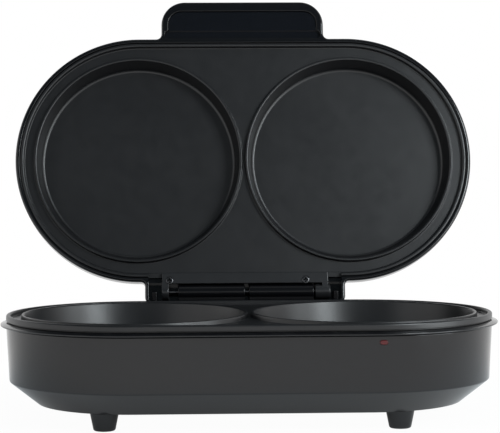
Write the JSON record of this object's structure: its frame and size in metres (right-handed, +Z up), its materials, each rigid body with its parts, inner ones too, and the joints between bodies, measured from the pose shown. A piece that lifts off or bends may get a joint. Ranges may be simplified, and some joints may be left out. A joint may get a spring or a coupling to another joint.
{
  "type": "omelette maker",
  "caption": "Black table-top omelette maker: stadium base on tapered feet, round non-stick pans side by side, and a matching lid with a handle tongue on a rear barrel hinge.",
  "frame": {"origin": "on the table, under the middle of the whole object with the lid open", "axes": "+X to the right along the base, +Y to the back, +Z up"},
  "size_m": [0.3296, 0.2452, 0.2843],
  "materials": {
    "black_moulding": "polished black moulded plastic",
    "satin_moulding": "satin black moulded plastic",
    "foot_rubber": "smooth black rubber",
    "gland_rubber": "smooth black rubber",
    "non_stick": "dark non-stick coating on pressed aluminium",
    "zinc_steel": "zinc plated",
    "dark_steel": "blackened steel",
    "element_steel": "drawn steel tube",
    "ceramic": "unglazed ceramic",
    "aluminised_steel": "aluminised sheet steel",
    "aluminium_sheet": "bright rolled sheet",
    "thermostat_body": "phenolic moulding",
    "red_lens": "dark red translucent plastic",
    "lamp_glass": "clear glass bulb"
  },
  "bodies": {
    "base": {"base_housing": "black_moulding", "feet": "foot_rubber", "foot_screws": "zinc_steel", "lower_plate": "non_stick", "lower_plate_screws": "zinc_steel", "lower_element_right": "element_steel", "lower_element_left": "element_steel", "lower_terminals": "ceramic", "lower_heat_shield": "aluminised_steel", "lower_thermostat": "thermostat_body", "lower_thermostat_screws": "zinc_steel", "thermal_fuse": "zinc_steel", "fuse_clip": "aluminised_steel", "terminal_block": "ceramic", "indicator_lens": "red_lens", "indicator_lamp": "lamp_glass", "cord_gland": "gland_rubber", "hinge_pin": "dark_steel"},
    "lid": {"lid_housing": "black_moulding", "handle_liner": "satin_moulding", "hinge_bar": "satin_moulding", "hinge_bar_screws": "dark_steel", "upper_plate": "non_stick", "upper_element_right": "element_steel", "upper_element_left": "element_steel", "upper_terminals": "ceramic", "upper_heat_shield": "aluminium_sheet", "upper_shield_screws": "zinc_steel", "upper_thermostat": "thermostat_body", "upper_thermostat_screws": "zinc_steel"}
  },
  "joints": [
    {"name": "lid_hinge", "type": "hinge", "parent": "base", "child": "lid", "pos_m": [0, 0.06331, 0.07552], "axis": [1, 0, 0], "range_deg": [0, 102.4]}
  ]
}
